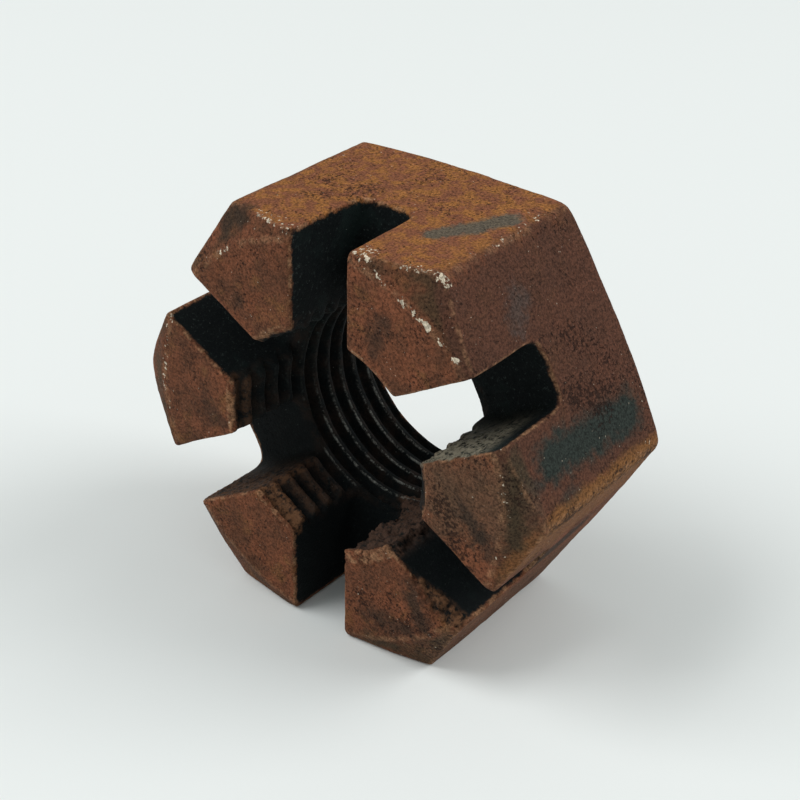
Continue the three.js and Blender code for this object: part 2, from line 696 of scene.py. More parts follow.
    def wall_crust(self, wall: CrustedWall) -> Value:
        """Crumbs on one wall of a slot.

        Args:
            wall: which wall, and how its crumbs lie.

        Returns:
            The cover, from 0 to 1.
        """
        graph, place, wear = self.graph, self.place, self.wear
        off_wall = abs(wall.flat.along(place) - self.sizes.slot_half_width * wall.side)
        outward = graph.ramp(wall.flat.outward(place), *wear.wall_crust_outward)
        near = graph.ramp(off_wall, *wear.wall_crust_off_wall) * outward
        fade = wear.wall_crust_fade
        within = graph.ramp(place.radius, wall.reach + fade, wall.reach - fade)
        return near * within * graph.ramp(self.depth(), *wear.wall_crust_depth) * wall.thickness


@dataclass(frozen=True)
class Relief:
    """One rough layer of the rusted skin: its pattern, the noise that stays level, its height in mm."""

    mottle: Mottle
    level: float
    height: float

    def rise(self, graph: Graph, place: Place) -> Value:
        """Height of the layer at a place, in millimetres."""
        return (self.mottle.noise(graph, place) - self.level) * self.height


SKIN_SEED = 3.0
WAVES = Relief(Mottle(5.0, 1.0, SKIN_SEED), level=0.62, height=0.30)
SCALE = Relief(Mottle(0.9, 3.0, SKIN_SEED + 1), level=0.6, height=0.10)
LUMPS = Relief(Mottle(0.55, 3.0, SKIN_SEED + 2, 0.8), level=0.55, height=0.7)
CLODS = Relief(Mottle(1.3, 3.0, SKIN_SEED + 4, 0.7), level=0.55, height=2.2)
FINE_CLODS = Relief(Mottle(0.8, 3.0, SKIN_SEED + 5, 0.7), level=0.55, height=1.4)


@dataclass(frozen=True)
class SlottedNut:
    """The nut's visible body, meshed from its distance field."""

    sizes: NutSizes
    wear: NutWear
    voxel: float = 0.13
    margin: float = 0.6
    triangle_limit: int = 190_000
    clod_radius: Span = (10.5, 9.5)
    clod_depth: Span = (0.3, 1.0)

    def tree(self, material: bpy.types.Material) -> bpy.types.GeometryNodeTree:
        """Builds the Geometry Nodes tree, with one named input for each size.

        Args:
            material: the finish that the surface gets.

        Returns:
            The tree, whose only output is the meshed nut.
        """
        tree = bpy.data.node_groups.new("slotted_nut_form", "GeometryNodeTree")
        graph = Graph(tree)
        sizes = self.sizes.as_inputs(graph)
        tree.interface.new_socket("Geometry", in_out="OUTPUT", socket_type="NodeSocketGeometry")
        position = graph.node("GeometryNodeInputPosition").outputs[0]
        field = NutField(graph, Place.at(graph, position, self.sizes.apothem), sizes, self.wear)
        low, high = self.limits()
        counts = [math.ceil((high[i] - low[i]) / (self.voxel * MM)) for i in range(3)]
        volume = graph.node(
            "GeometryNodeVolumeCube",
            inputs={
                "Density": -field.whole(),
                "Background": -self.margin,
                "Min": low,
                "Max": high,
                "Resolution X": counts[0],
                "Resolution Y": counts[1],
                "Resolution Z": counts[2],
            },
        )
        surface = graph.node(
            "GeometryNodeVolumeToMesh", inputs={"Volume": volume.outputs[0], "Threshold": 0.0}
        )
        normal = graph.node("GeometryNodeInputNormal").outputs[0]
        offset = graph.node(
            "ShaderNodeVectorMath", {"operation": "SCALE"}, {0: normal, "Scale": self.skin(field) * MM}
        )
        rusted = graph.node(
            "GeometryNodeSetPosition", inputs={"Geometry": surface.outputs[0], "Offset": offset.outputs[0]}
        )
        real = graph.node("GeometryNodeRealizeInstances", inputs={"Geometry": rusted.outputs[0]})
        dressed = graph.node(
            "GeometryNodeSetMaterial", inputs={"Geometry": real.outputs[0], "Material": material}
        )
        graph.node("NodeGroupOutput", inputs={0: dressed.outputs[0]})
        return tree

    def limits(self) -> tuple[Point, Point]:
        """The meshed space: the CAD body's box with a margin.

        Returns:
            Its lowest and highest corner, in metres.
        """
        low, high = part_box(CAD_NODE)
        edge = Vector((self.margin,) * 3) * MM
        return tuple(low - edge), tuple(high + edge)

    def skin(self, field: NutField) -> Value:
        """The rusted skin over the worn form.

        Args:
            field: the nut's field at the surface.

        Returns:
            Height of the skin in millimetres, mostly inwards.
        """
        graph, place = field.graph, field.place
        packed = field.packed() * graph.ramp(place.radius, *self.clod_radius)
        clods = CLODS.rise(graph, place) * packed * graph.ramp(field.depth(), *self.clod_depth)
        clods = clods + FINE_CLODS.rise(graph, place) * field.crumbled()
        worn = graph.smaller(WAVES.rise(graph, place) + SCALE.rise(graph, place), 0.0)
        return worn + LUMPS.rise(graph, place) * field.crust() + clods

    def mesh(self, material: bpy.types.Material) -> bpy.types.Object:
        """Evaluates the tree to a plain mesh and thins it.

        Args:
            material: the finish that the surface gets.

        Returns:
            The finished object, at the origin, with its place in its mesh.
        """
        tree = self.tree(material)
        blank = bpy.data.objects.new("nut_form", bpy.data.meshes.new("nut_form"))
        bpy.context.scene.collection.objects.link(blank)
        modifier = blank.modifiers.new("form", "NODES")
        modifier.node_group = tree
        inputs = [item for item in tree.interface.items_tree if item.in_out == "INPUT"]
        for item, size in zip(inputs, fields(self.sizes)):
            modifier[item.identifier] = getattr(self.sizes, size.name)
        fine = self.evaluated(blank)
        modifier.node_group = None
        blank.modifiers.clear()
        blank.data = fine
        triangles = 2 * len(fine.polygons)
        thinner = blank.modifiers.new("thinner", "DECIMATE")
        thinner.ratio = min(1.0, self.triangle_limit / triangles)
        thinned = self.evaluated(blank)
        thinned.shade_smooth()
        bpy.data.objects.remove(blank)
        LOG.info("nut surface: %d triangles thinned to %d", triangles, len(thinned.polygons))
        body = bpy.data.objects.new("nut_body", thinned)
        bpy.context.scene.collection.objects.link(body)
        return body

    @staticmethod
    def evaluated(source: bpy.types.Object) -> bpy.types.Mesh:
        """The mesh that an object's modifiers give."""
        graph = bpy.context.evaluated_depsgraph_get()
        return bpy.data.meshes.new_from_object(source.evaluated_get(graph))

    def build(self, material: bpy.types.Material) -> bpy.types.Object:
        """Makes the body, lets it ride on the frame and stand for the CAD node.

        Args:
            material: the body's finish.

        Returns:
            The body.
        """
        body = self.mesh(material)
        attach(body, "root")
        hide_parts(CAD_NODE)
        return body


# ------------------------------------------------------------------ the finish


@dataclass(frozen=True)
class Stripe:
    """A round-ended stripe on a flat, or on the slotted face where flat is None.

    Its ends are in millimetres: along the flat and along the thread axis from the middle of the
    flat, or along X and Z from the thread axis on the slotted face.
    """

    flat: Flat | None
    start: tuple[float, float]
    end: tuple[float, float]
    half_width: float
    strength: float = 0.9
    raggedness: float = 1.0
    softness: float = 0.4

    # How far a stripe goes in from the slotted face, and from a flat, in millimetres.
    FACE_DEPTH = (2.2, 1.5)
    FLAT_DEPTH = (1.2, 0.7)

    def mask(self, field: NutField, ragged: Value) -> Value:
        """Cover of the stripe, from 0 outside it to its full strength.

        Args:
            field: the nut's field at the shaded place.
            ragged: noise about zero that frays the outline.

        Returns:
            The factor that the stripe is mixed in by.
        """
        graph, place = field.graph, field.place
        if self.flat is None:
            across, up = place.x, place.z
            surface = graph.ramp(field.depth(), *self.FACE_DEPTH)
        else:
            across, up = self.flat.along(place), place.y
            sets_in, full = (field.sizes.apothem - depth for depth in self.FLAT_DEPTH)
            surface = graph.ramp(self.flat.outward(place), sets_in, full)
        run = (self.end[0] - self.start[0], self.end[1] - self.start[1])
        length_squared = run[0] ** 2 + run[1] ** 2
        across = across - self.start[0]
        up = up - self.start[1]
        share = (across * run[0] + up * run[1]) / length_squared
        share = graph.larger(graph.smaller(share, 1.0), 0.0)
        gap = graph.length(across - share * run[0], up - share * run[1])
        edge = gap - self.half_width + ragged * self.raggedness
        return graph.ramp(edge, self.softness, -self.softness) * surface * self.strength


GREY: Colour = (0.088, 0.080, 0.060, 1.0)
TEAL: Colour = (0.021, 0.031, 0.027, 1.0)
BLUE_GREY: Colour = (0.060, 0.058, 0.055, 1.0)
SMUDGE: Colour = (0.034, 0.022, 0.015, 1.0)
ORANGE_BAND: Colour = (0.200, 0.088, 0.028, 1.0)
PURPLE_BROWN: Colour = (0.078, 0.034, 0.022, 1.0)
YELLOW_OLIVE: Colour = (0.088, 0.056, 0.034, 1.0)
DARK_OLIVE: Colour = (0.045, 0.032, 0.018, 1.0)

RIGHT_FLAT_RUST = Stripe(Flat.RIGHT_UPPER, (0.0, -8.0), (0.0, 8.0), 9.5, 0.8, 5.0, 1.2)
RIGHT_CORNER_BAND = Stripe(Flat.RIGHT_UPPER, (-9.6, -6.0), (-9.3, 6.5), 0.7, 0.65, 3.0, 0.6)
LOWER_CORNER_BAND = Stripe(Flat.RIGHT_LOWER, (9.3, -6.0), (9.3, 7.0), 1.1, 0.65, 2.5, 0.6)
TOP_RUB = Stripe(Flat.TOP, (-5.3, -2.4), (-7.9, 3.0), 0.9, 0.92, 2.0, 0.35)
RIGHT_RUB = Stripe(Flat.RIGHT_UPPER, (-5.4, -4.2), (-6.0, 5.5), 1.55, 0.95, 3.2, 0.8)

# Patterns that fray the border of the black scale and the outlines of the stripes.
SCALE_BORDER = Mottle(0.8, 4.0, 19.0, 0.7)
RAGGED = Mottle(0.9, 4.0, 41.0, 0.65)
# Patterns of the outer rust, of the painted shade on the front chamfer and of the painted highlights on
# its ridges.
GRAIN = Mottle(0.20, 3.0, 20.0, 0.75)
PITS = Mottle(0.26, 3.0, 31.0, 0.7)
PIT_CLUSTERS = Mottle(3.0, 3.0, 32.0)
BLOTCHES = Mottle(2.4, 5.0, 11.0, 0.66, (0.34, 0.64))
YELLOWED = Mottle(2.0, 4.0, 13.0, 0.6, (0.52, 0.70), strength=0.7)
FRECKLES = Mottle(1.2, 5.0, 12.0, 0.65, (0.42, 0.60))
SHADED = Mottle(2.4, 3.0, 15.0, 0.6, (0.35, 0.62), strength=0.85)
WORN_AND_HIGHLIT = Mottle(0.8, 3.0, 52.0, 0.6, (0.40, 0.62))
SPECKS = Mottle(0.34, 2.0, 51.0, 0.6)
LOOSE_SPECKS = Mottle(0.22, 1.0, 54.0, span=(0.74, 0.79), strength=0.6)
# Patterns of the black scale in the bore and slots, and of the painted highlights on its thread crests.
BROWNED = Mottle(1.6, 5.0, 65.0, 0.7, (0.42, 0.66), strength=0.8)
STREAKS = Mottle(1.1, 5.0, 60.0, 0.75)
TEAL_FLECKS = Mottle(0.25, 3.0, 61.0, 0.75, (0.56, 0.72))
TEAL_CLOUDS = Mottle(3.5, 4.0, 64.0, 0.7, (0.50, 0.66))
LIGHT_FLECKS = Mottle(0.20, 2.0, 63.0, 0.6, (0.71, 0.79), strength=0.6)
CRUMBS = Mottle(0.5, 4.0, 62.0, 0.7, (0.36, 0.56), strength=0.9)


@dataclass(frozen=True)
class RustedSteel:
    """Old red-brown rust with dark pits, grey patches worn bare and a blackened thread and slots,
    with painted shade on the front chamfer, and painted highlights on the chamfer's ridges and on the
    thread crests.

    Lengths are in millimetres. A depth is measured behind the slotted face, and x, z and radius
    from the thread axis.
    """

    sizes: NutSizes
    wear: NutWear

    red_brown: Colour = (0.178, 0.062, 0.030, 1.0)
    dark_brown: Colour = (0.098, 0.040, 0.021, 1.0)
    yellow_brown: Colour = (0.165, 0.075, 0.028, 1.0)
    orange: Colour = (0.275, 0.113, 0.031, 1.0)
    pink_brown: Colour = (0.190, 0.070, 0.034, 1.0)
    pit_brown: Colour = (0.020, 0.008, 0.005, 1.0)
    pale_speck_and_highlight: Colour = (0.60, 0.52, 0.40, 1.0)
    worn_edge_and_highlight: Colour = (0.300, 0.160, 0.085, 1.0)
    olive: Colour = (0.062, 0.038, 0.020, 1.0)
    crust_brown: Colour = (0.165, 0.078, 0.038, 1.0)
    crust_purple: Colour = (0.085, 0.047, 0.032, 1.0)
    crust_grey_and_light: Colour = (0.230, 0.205, 0.150, 1.0)
    crest_highlight_grey: Colour = (0.420, 0.430, 0.390, 1.0)
    teal_fleck: Colour = (0.060, 0.075, 0.070, 1.0)
    teal_scale: Colour = (0.008, 0.015, 0.014, 1.0)
    brown_scale: Colour = (0.024, 0.015, 0.011, 1.0)
    light_fleck: Colour = (0.40, 0.42, 0.38, 1.0)
    black: Colour = (0.004, 0.006, 0.0065, 1.0)

    bump_height: float = 0.12
    bump_strength: float = 0.9
    pit_drop: float = 0.8
    roughness: float = 0.80
    roughness_fall: float = 0.2
    gloss: float = 0.10
    scale_depth: Span = (0.2, 0.5)
    scale_fray: float = 1.1

    pit_noise: Span = (0.61, 0.68)
    pit_gathering: float = 0.5
    pit_strength: float = 0.78
    orange_strength: float = 0.95
    top_lead: Span = (-0.1, 0.5)
    over_chamfer: Span = (0.25, -0.25)
    over_hexagon: Span = (-1.3, -0.4)
    slot_edge: Span = (0.26, 0.10)
    bore_edge: Span = (0.35, 0.15)
    edge_strength: float = 0.8
    ridge_strength: float = 0.45
    corner_share: float = 0.7
    shade_grain: Span = (0.30, 0.70)
    shade_range: float = 1.15
    shade_least: float = 0.42

    shaded_past_ridge: Span = (0.1, 0.7)
    shaded_to_flat: Span = (-0.6, 0.6)
    ridge_depth: Span = (0.7, 0.35)
    ridge_gap: Span = (0.42, 0.08)
    meeting_depth: Span = (3.5, 2.5)
    meeting_gap: Span = (0.30, 0.05)
    corner_gap: Span = (0.5, 0.1)
    corner_over_flat: Span = (0.1, -0.3)
    speck_noise: Span = (0.73, 0.81)
    ridge_specks: float = 0.06

    # Painted highlights on the thread crests: bright lines, partly worn crest edges, brightest low and
    # deep in the bore, where the crests face the light.
    crest_height: Span = (0.32, 0.10)
    crest_edge_gap: Span = (0.11, 0.02)
    crest_streaks: Span = (0.76, 1.02)
    crest_grain: float = 0.7
    crest_strength: float = 0.6
    crest_light_z: Span = (0.0, -6.0)
    crest_light_depth: Span = (6.0, 9.0)
    crest_light_least: float = 0.05
    mouth_excess: float = 0.8
    flecked_z: Span = (-2.0, 6.0)
    flecked_least: float = 0.25
    flecked_range: float = 0.55
    grey_crust_z: Span = (0.5, 2.5)
    grey_crust_x: Span = (0.0, 3.0)
    brown_crust_radius: Span = (11.5, 10.0)

    stains: tuple[tuple[Stripe, Colour], ...] = (
        (RIGHT_FLAT_RUST, PURPLE_BROWN),
        (RIGHT_CORNER_BAND, ORANGE_BAND),
        (LOWER_CORNER_BAND, ORANGE_BAND),
        (TOP_RUB, GREY),
        (RIGHT_RUB, TEAL),
        (Stripe(Flat.RIGHT_UPPER, (-6.3, -7.2), (-6.3, -6.2), 0.5, 0.7, 3.0, 0.7), TEAL),
        (Stripe(Flat.RIGHT_UPPER, (-8.3, -4.0), (-8.2, -3.3), 0.5, 0.6, 3.0, 0.7), TEAL),
        (Stripe(Flat.RIGHT_UPPER, (5.6, -1.1), (4.2, -2.2), 0.9, 0.5, 4.0, 0.8), BLUE_GREY),
        (Stripe(Flat.RIGHT_LOWER, (6.6, -7.5), (6.6, 7.5), 2.6, 0.55, 3.0, 1.0), ORANGE_BAND),
        (Stripe(Flat.RIGHT_LOWER, (0.4, -1.0), (0.8, 3.6), 1.5, 0.85, 2.0, 0.7), SMUDGE),
        (Stripe(Flat.RIGHT_LOWER, (-6.0, -7.5), (-6.0, 7.5), 3.4, 0.35, 4.0, 1.2), YELLOW_OLIVE),
        (Stripe(None, (12.0, 0.5), (15.5, 1.5), 3.4, 0.6, 7.0, 1.8), YELLOW_OLIVE),
        (Stripe(None, (16.6, 5.2), (17.2, -1.5), 0.55, 0.85, 2.0, 0.6), DARK_OLIVE),
        (Stripe(None, (13.0, -0.1), (14.4, -1.6), 0.75, 0.85, 3.5, 0.6), SMUDGE),
        (Stripe(None, (14.6, -2.4), (15.6, -3.0), 0.7, 0.6, 4.0, 0.8), SMUDGE),
        (Stripe(None, (5.6, 12.2), (4.8, 9.8), 0.7, 0.6, 4.0, 0.7), SMUDGE),
        (Stripe(None, (8.6, -9.0), (9.6, -11.6), 0.8, 0.8, 3.5, 0.7), SMUDGE),
        (Stripe(None, (8.6, -13.0), (4.8, -13.2), 0.8, 0.75, 4.0, 0.9), SMUDGE),
        (Stripe(None, (4.4, -15.4), (8.8, -15.8), 0.7, 0.7, 3.0, 0.8), DARK_OLIVE),
        (Stripe(None, (-8.1, 16.0), (-9.6, 15.0), 0.8, 0.8, 4.0, 0.7), SMUDGE),
        (Stripe(None, (-8.6, 10.1), (-8.0, 9.3), 0.6, 0.5, 4.0, 0.7), SMUDGE),
        (Stripe(None, (-11.7, -0.6), (-10.6, -1.6), 0.9, 0.6, 4.0, 0.7), SMUDGE),
        (Stripe(None, (-14.6, 5.0), (-14.6, -2.0), 2.4, 0.18, 4.0, 1.5), SMUDGE),
    )
    pitted_areas: tuple[Stripe, ...] = (
        Stripe(Flat.TOP, (7.0, -2.0), (2.0, 4.5), 3.2, 0.05, 4.0, 2.5),
        Stripe(Flat.RIGHT_UPPER, (-2.0, 0.0), (-4.4, 3.0), 1.1, 0.26, 3.0, 1.0),
        Stripe(Flat.RIGHT_UPPER, (-2.4, 3.2), (-3.6, 5.6), 1.1, 0.18, 3.0, 1.0),
        Stripe(Flat.RIGHT_UPPER, (0.6, 2.6), (-1.0, 5.6), 1.0, 0.22, 3.0, 1.2),
        Stripe(None, (11.0, -0.8), (13.5, -5.0), 0.8, 0.24, 3.0, 1.2),
        Stripe(None, (4.0, -12.6), (9.4, -11.6), 1.2, 0.20, 3.0, 1.2),
        Stripe(Flat.RIGHT_LOWER, (8.9, -6.0), (8.9, 7.0), 0.5, 0.30, 3.0, 0.5),
    )
    # Rows of pale specks along the ridges and edges, partly pale chips and partly painted highlights.
    speck_rows: tuple[Stripe, ...] = (
        Stripe(None, (2.9, 16.5), (4.0, 16.4), 0.34, 0.24, 0.6, 0.3),
        Stripe(None, (4.8, 15.7), (5.6, 15.1), 0.25, 0.15, 0.6, 0.2),
        Stripe(None, (6.4, 16.6), (8.4, 16.6), 0.30, 0.14, 0.6, 0.2),
        Stripe(None, (9.3, 16.5), (9.9, 16.1), 0.35, 0.24, 0.6, 0.3),
        Stripe(None, (6.9, 14.6), (9.5, 13.1), 0.25, 0.16, 0.4, 0.2),
        Stripe(None, (9.2, 13.3), (9.4, 13.1), 0.25, 0.18, 0.4, 0.2),
        Stripe(None, (10.2, 12.6), (12.1, 11.1), 0.22, 0.14, 0.4, 0.2),
        Stripe(None, (11.8, 11.4), (12.0, 11.2), 0.22, 0.14, 0.4, 0.2),
        Stripe(None, (-6.8, 16.6), (-3.2, 16.5), 0.28, 0.14, 0.6, 0.2),
        Stripe(None, (-10.8, 12.1), (-9.0, 13.4), 0.26, 0.14, 0.6, 0.2),
        Stripe(None, (-15.3, 6.2), (-16.3, -0.8), 0.40, 0.13, 0.8, 0.3),
        Stripe(None, (16.0, 4.0), (16.6, 0.5), 0.22, 0.10, 0.6, 0.2),
        Stripe(None, (11.5, 3.6), (16.6, 6.6), 0.26, 0.10, 0.6, 0.2),
        Stripe(Flat.TOP, (-9.4, -1.0), (-9.1, 5.6), 0.30, 0.11, 0.6, 0.2),
        Stripe(Flat.RIGHT_UPPER, (-8.9, 6.5), (-8.9, 7.0), 0.30, 0.20, 0.4, 0.2),
    )

    def material(self) -> bpy.types.Material:
        """Builds the node material: rust outside, black scale in the bore and slots.

        Returns:
            The material.
        """
        made = bpy.data.materials.new("rusted_steel")
        made.use_nodes = True
        made.node_tree.nodes.clear()
        graph = Graph(made.node_tree)
        position = graph.node("ShaderNodeTexCoord").outputs["Object"]
        place = Place.at(graph, position, self.sizes.apothem)
        field = NutField(graph, place, self.sizes, self.wear)
        frayed = (SCALE_BORDER.noise(graph, place) - 0.5) * self.scale_fray
        inside = graph.ramp(-field.outside() + frayed, *self.scale_depth)
        grain = GRAIN.noise(graph, place)
        ragged = RAGGED.noise(graph, place) - 0.5
        pits = self.pits(field, ragged)
        outer = self.outer_rust(field, grain, pits, ragged)
        inner = self.inner_scale(field, grain)
        colour = graph.mix(inside, outer, inner)
        bump = graph.node(
            "ShaderNodeBump",
            inputs={
                "Strength": self.bump_strength,
                "Distance": self.bump_height * MM,
                "Height": grain - pits * self.pit_drop,
            },
        )
        shader = graph.node(
            "ShaderNodeBsdfPrincipled",
            inputs={
                "Base Color": colour,
                "Roughness": self.roughness - grain * self.roughness_fall,
                "Specular IOR Level": self.gloss,
                "Normal": bump.outputs[0],
            },
        )
        graph.node("ShaderNodeOutputMaterial", inputs={"Surface": shader.outputs[0]})
        return made

    @staticmethod
    def cover(field: NutField, stripes: tuple[Stripe, ...], ragged: Value) -> Value:
        """Covers of several stripes, added up.

        Args:
            field: the nut's field at the shaded place.
            stripes: the stripes.
            ragged: noise about zero that frays their outlines.

        Returns:
            The sum of their covers.
        """
        total = stripes[0].mask(field, ragged)
        for stripe in stripes[1:]:
            total = total + stripe.mask(field, ragged)
        return total

    def pits(self, field: NutField, ragged: Value) -> Value:
        """Small dark pits, gathered in clusters and thickest in the pitted areas.

        Args:
            field: the nut's field at the shaded place.
            ragged: noise about zero that frays the pitted areas.

        Returns:
            The cover of the pits.
        """
        graph, place = field.graph, field.place
        clustered = PIT_CLUSTERS.noise(graph, place) - 0.5
        gathered = (clustered + self.cover(field, self.pitted_areas, ragged)) * self.pit_gathering
        return graph.ramp(PITS.noise(graph, place) + gathered, *self.pit_noise)

    def outer_rust(self, field: NutField, grain: Value, pits: Value,
                   ragged: Value) -> bpy.types.NodeSocket:
        """Rust of the outer faces: mottled, orange on the top flat, with its stains, painted shade on the
        front chamfer, worn edges with painted highlights on the ridges, and pale specks that are partly
        painted highlights.

        Args:
            field: the nut's field at the shaded place.
            grain: fine noise that lightens and darkens the rust.
            pits: cover of the dark pits.
            ragged: noise about zero that frays the stains.

        Returns:
            The colour socket.
        """
        graph, place = field.graph, field.place
        over_flat = field.front_chamfer() - field.hexagon()
        rust = graph.mix(BLOTCHES.cover(graph, place), self.dark_brown, self.red_brown)
        rust = graph.mix(YELLOWED.cover(graph, place), rust, self.yellow_brown)
        orange = graph.mix(FRECKLES.cover(graph, place), self.pink_brown, self.orange)
        rust = graph.mix(self.top_flat(field, over_flat) * self.orange_strength, rust, orange)
        # painted shade: the front chamfer made darker between its ridge and the flats, partly its own rust
        # colour
        rust = graph.mix(self.chamfer_shade(field, over_flat), rust, self.olive)
        for stripe, colour in self.stains:
            rust = graph.mix(stripe.mask(field, ragged), rust, colour)
        rust = graph.mix(pits * self.pit_strength, rust, self.pit_brown)
        # painted highlights: a lighter line along the chamfer ridges and corners, where the rounded edges
        # catch the light; on the slot and bore edges it is rust wrapped round the edge
        ridges = self.ridges(field, over_flat)
        edges = self.inner_edges(field) * self.edge_strength
        worn = graph.larger(ridges * self.ridge_strength, edges) * WORN_AND_HIGHLIT.cover(graph, place)
        rust = graph.mix(worn, rust, self.worn_edge_and_highlight)
        # pale specks: painted highlights along the ridges and edges, and a few loose pale chips elsewhere
        rust = graph.mix(self.specks(field, ridges, ragged), rust, self.pale_speck_and_highlight)
        shade = graph.ramp(grain, *self.shade_grain) * self.shade_range + self.shade_least
        scaled = graph.node("ShaderNodeVectorMath", {"operation": "SCALE"}, {0: rust, "Scale": shade})
        return scaled.outputs[0]

    def top_flat(self, field: NutField, over_flat: Value) -> Value:
        """The top flat, without its chamfers.

        Args:
            field: the nut's field at the shaded place.
            over_flat: how much further out the front chamfer is than the flats.

        Returns:
            The cover, from 0 to 1.
        """
        graph, place = field.graph, field.place
        beside = graph.larger(Flat.LEFT_UPPER.outward(place), Flat.RIGHT_UPPER.outward(place))
        top = graph.ramp(Flat.TOP.outward(place) - beside, *self.top_lead)
        top = top * graph.ramp(over_flat, *self.over_chamfer)
        return top * graph.ramp(field.hexagon(), *self.over_hexagon)

    def chamfer_shade(self, field: NutField, over_flat: Value) -> Value:
        """Painted shade on the front chamfer: darker between its ridge and the flats, partly the rust's
        own colour and partly the shade of the facet.

        Args:
            field: the nut's field at the shaded place.
            over_flat: how much further out the front chamfer is than the flats.

        Returns:
            The cover of the darker rust.
        """
        graph, place = field.graph, field.place
        past_ridge = graph.ramp(place.radius - field.sizes.front_chamfer_radius, *self.shaded_past_ridge)
        before_flat = graph.ramp(over_flat, *self.shaded_to_flat)
        return past_ridge * before_flat * SHADED.cover(graph, place)

    def ridges(self, field: NutField, over_flat: Value) -> Value:
        """Nearness to the front chamfer's ridge, to its meeting with the flats and to the corners.

        Args:
            field: the nut's field at the shaded place.
            over_flat: how much further out the front chamfer is than the flats.

        Returns:
            From 0 away from them to 1 on the ridge.
        """
        graph, place = field.graph, field.place
        rim = abs(place.radius - field.sizes.front_chamfer_radius)
        ridge = graph.ramp(rim, *self.ridge_gap) * graph.ramp(field.depth(), *self.ridge_depth)
        meeting = graph.ramp(abs(over_flat), *self.meeting_gap)
        meeting = meeting * graph.ramp(field.depth(), *self.meeting_depth)
        first, second, third = (abs(flat.outward(place)) for flat in FLAT_PAIRS)
        to_corner = graph.smaller(graph.smaller(first, second), third)
        corner = graph.ramp(to_corner, *self.corner_gap) * graph.ramp(over_flat, *self.corner_over_flat)
        return graph.larger(graph.larger(ridge, meeting), corner * self.corner_share)

    def inner_edges(self, field: NutField) -> Value:
        """Nearness to the edges of the slots and the bore.

        Args:
            field: the nut's field at the shaded place.

        Returns:
            From 0 away from them to 1 on them.
        """
        graph = field.graph
        past_mouth = field.place.radius - field.sizes.countersink_radius
        at_slot = graph.ramp(field.slots(), *self.slot_edge)
        return graph.larger(at_slot, graph.ramp(past_mouth, *self.bore_edge))

    def specks(self, field: NutField, ridges: Value, ragged: Value) -> Value:
        """Pale specks: rows of them on the ridges and edges, partly pale chips and partly painted
        highlights, and a few loose ones elsewhere.

        Args:
            field: the nut's field at the shaded place.
            ridges: nearness to the ridges.
            ragged: noise about zero that frays the rows.

        Returns:
            The cover of the specks.
        """
        graph, place = field.graph, field.place
        rows = self.cover(field, self.speck_rows, ragged) + ridges * self.ridge_specks
        in_rows = graph.ramp(SPECKS.noise(graph, place) + rows, *self.speck_noise)
        return graph.larger(in_rows, LOOSE_SPECKS.cover(graph, place))

    def inner_scale(self, field: NutField, grain: Value) -> bpy.types.NodeSocket:
        """Black scale of the slots and bore, with painted highlights on its crests, its flecks, and its
        crumbs, which are grey and painted lighter on the lit wall.

        Args:
            field: the nut's field at the shaded place.
            grain: fine noise that breaks up the crests.

        Returns:
            The colour socket.
        """
        graph, place = field.graph, field.place
        in_bore = graph.ramp(
            place.radius, field.sizes.countersink_radius + self.mouth_excess, field.sizes.major_radius
        )
        scale = graph.mix(BROWNED.cover(graph, place) * in_bore, self.black, self.brown_scale)
        # painted highlights: bright grey lines on the thread crests, strongest where the low crests face
        # the light
        scale = graph.mix(self.crests(field, grain) * self.crest_strength, scale, self.crest_highlight_grey)
        flecked = graph.ramp(place.z, *self.flecked_z) * self.flecked_range + self.flecked_least
        scale = graph.mix(TEAL_FLECKS.cover(graph, place) * flecked, scale, self.teal_fleck)
        scale = graph.mix(TEAL_CLOUDS.cover(graph, place) * flecked, scale, self.teal_scale)
        scale = graph.mix(LIGHT_FLECKS.cover(graph, place), scale, self.light_fleck)
        crumbs = field.crust() * CRUMBS.cover(graph, place)
        return graph.mix(crumbs, scale, self.crumb_colour(field))

    def crests(self, field: NutField, grain: Value) -> Value:
        """Painted highlights along the thread crests: broken bright lines, partly worn crest edges,
        brightest low and deep in the bore, where the low crests face up to the light.

        Args:
            field: the nut's field at the shaded place.
            grain: fine noise that breaks up the lines.

        Returns:
            The cover of the lines.
        """
        graph, place, sizes = field.graph, field.place, field.sizes
        sets_in, full = (sizes.minor_radius + height for height in self.crest_height)
        near_crest = graph.ramp(place.radius, sets_in, full)
        crest_edge = sizes.pitch * 3 / 8
        off_edge = abs(field.past_groove() - crest_edge)
        line = near_crest * graph.ramp(off_edge, *self.crest_edge_gap)
        low_and_deep = graph.ramp(place.z, *self.crest_light_z) * graph.ramp(field.depth(), *self.crest_light_depth)
        facing_light = low_and_deep * (1 - self.crest_light_least) + self.crest_light_least
        streaks = STREAKS.noise(graph, place) + grain * self.crest_grain
        return line * graph.ramp(streaks, *self.crest_streaks) * facing_light

    def crumb_colour(self, field: NutField) -> bpy.types.NodeSocket:
        """Colour of the crumbs: brown, purplish where the thread is packed, grey on the lit wall, where
        the grey is made lighter as painted light.

        Args:
            field: the nut's field at the shaded place.

        Returns:
            The colour socket.
        """
        graph, place = field.graph, field.place
        packed = field.packed() * graph.ramp(place.radius, *self.brown_crust_radius)
        crust = graph.mix(packed, self.crust_brown, self.crust_purple)
        # painted light: the grey crumbs on the lit slot wall are made lighter for the light that falls
        # there
        greyed_and_lit = graph.ramp(place.z, *self.grey_crust_z) * graph.ramp(place.x, *self.grey_crust_x)
        return graph.mix(greyed_and_lit, crust, self.crust_grey_and_light)


# ------------------------------------------------------------------ the studio


